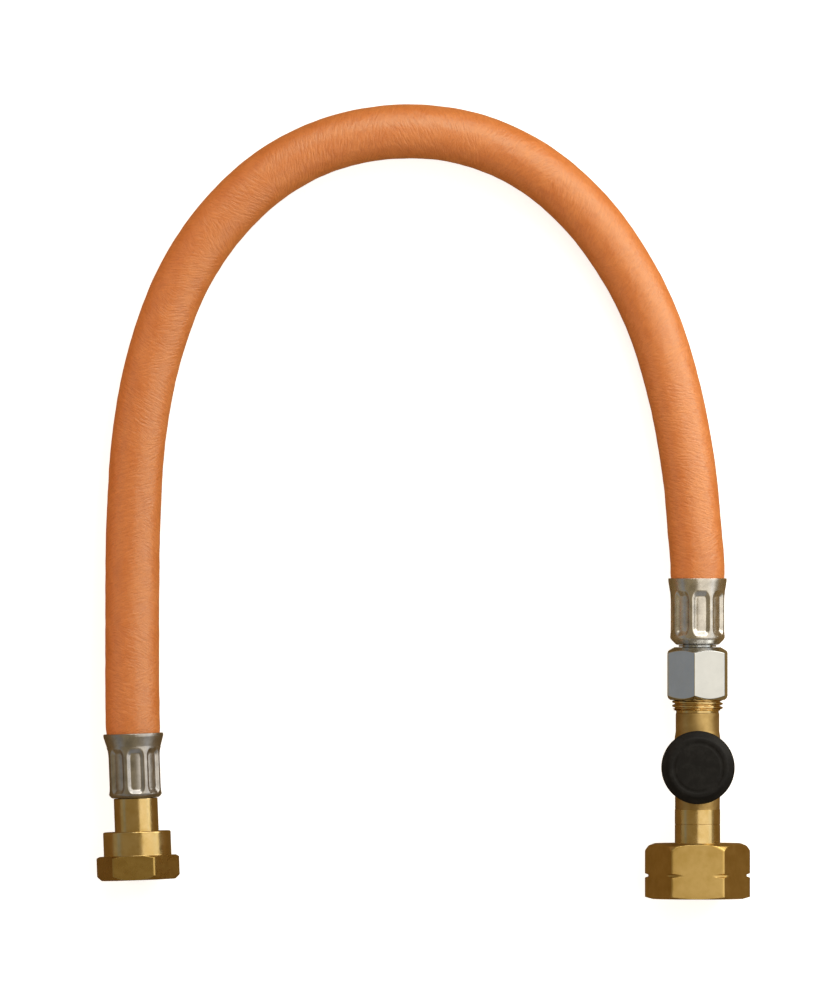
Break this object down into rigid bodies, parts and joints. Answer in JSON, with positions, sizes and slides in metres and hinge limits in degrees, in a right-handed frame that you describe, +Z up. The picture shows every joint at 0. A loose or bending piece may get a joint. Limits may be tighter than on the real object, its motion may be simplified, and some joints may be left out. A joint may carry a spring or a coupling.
{
  "type": "gas hose assembly",
  "caption": "Flexible orange gas hose with crimped ferrules, a regulator swivel nut, and a push-button excess-flow valve ending in a large left-hand cylinder nut.",
  "frame": {"origin": "centre of the box around the metal fittings, on the plane the assembly lies on; the free hose isn't counted", "axes": "+X from the regulator fitting to the valve fitting, +Y towards the hose's arch, +Z up, along which the push button is pressed down"},
  "size_m": [0.2146, 0.2601, 0.0342],
  "materials": {
    "orange_rubber": "matt, with the fine imprint of a cloth wrap",
    "ferrule_steel": "satin, warm grey, pressed",
    "turned_brass": "machined, slightly dull",
    "plated_steel": "bright nickel plate",
    "spring_steel": "drawn wire",
    "black_rubber": "matt",
    "black_plastic": "fine moulded texture",
    "sintered_bronze": "grainy, sintered"
  },
  "bodies": {
    "root": {"hose": "orange_rubber", "hose_tail_left": "orange_rubber", "hose_tail_right": "orange_rubber", "ferrule_left": "ferrule_steel", "ferrule_right": "ferrule_steel", "stem_left": "turned_brass", "regulator_seal": "black_rubber", "stem_right": "plated_steel", "union_seal": "black_rubber", "union_nut": "plated_steel", "valve_body": "turned_brass", "valve_seat": "turned_brass", "poppet_spring": "spring_steel", "poppet_guide": "turned_brass", "inlet_spigot": "turned_brass", "spigot_o_ring": "black_rubber", "inlet_filter": "sintered_bronze", "cylinder_seal": "black_rubber", "button_gland": "turned_brass", "button_o_ring": "black_rubber", "button_spring": "spring_steel"},
    "regulator_nut": {"regulator_nut": "turned_brass"},
    "cylinder_nut": {"cylinder_nut": "turned_brass"},
    "button": {"button_cap": "black_plastic", "button_stem": "spring_steel", "button_circlip": "spring_steel"},
    "poppet": {"poppet": "turned_brass", "poppet_seal": "black_rubber"}
  },
  "joints": [
    {"name": "regulator_nut_spin", "type": "hinge", "parent": "root", "child": "regulator_nut", "pos_m": [-0.09343, -0.04172, 0.01273], "axis": [0.0366, -0.9993, 0], "continuous": true},
    {"name": "cylinder_nut_spin", "type": "hinge", "parent": "root", "child": "cylinder_nut", "pos_m": [0.08996, -0.0434, 0.015], "axis": [0, -1, 0], "continuous": true},
    {"name": "button_press", "type": "slide", "parent": "root", "child": "button", "axis": [0, 0, -1], "range_m": [0, 0.003], "stiffness_N_per_m": 400, "springref_m": -0.004},
    {"name": "poppet_close", "type": "slide", "parent": "root", "child": "poppet", "axis": [0, 1, 0], "range_m": [0, 0.002], "stiffness_N_per_m": 200, "springref_m": -0.002}
  ]
}
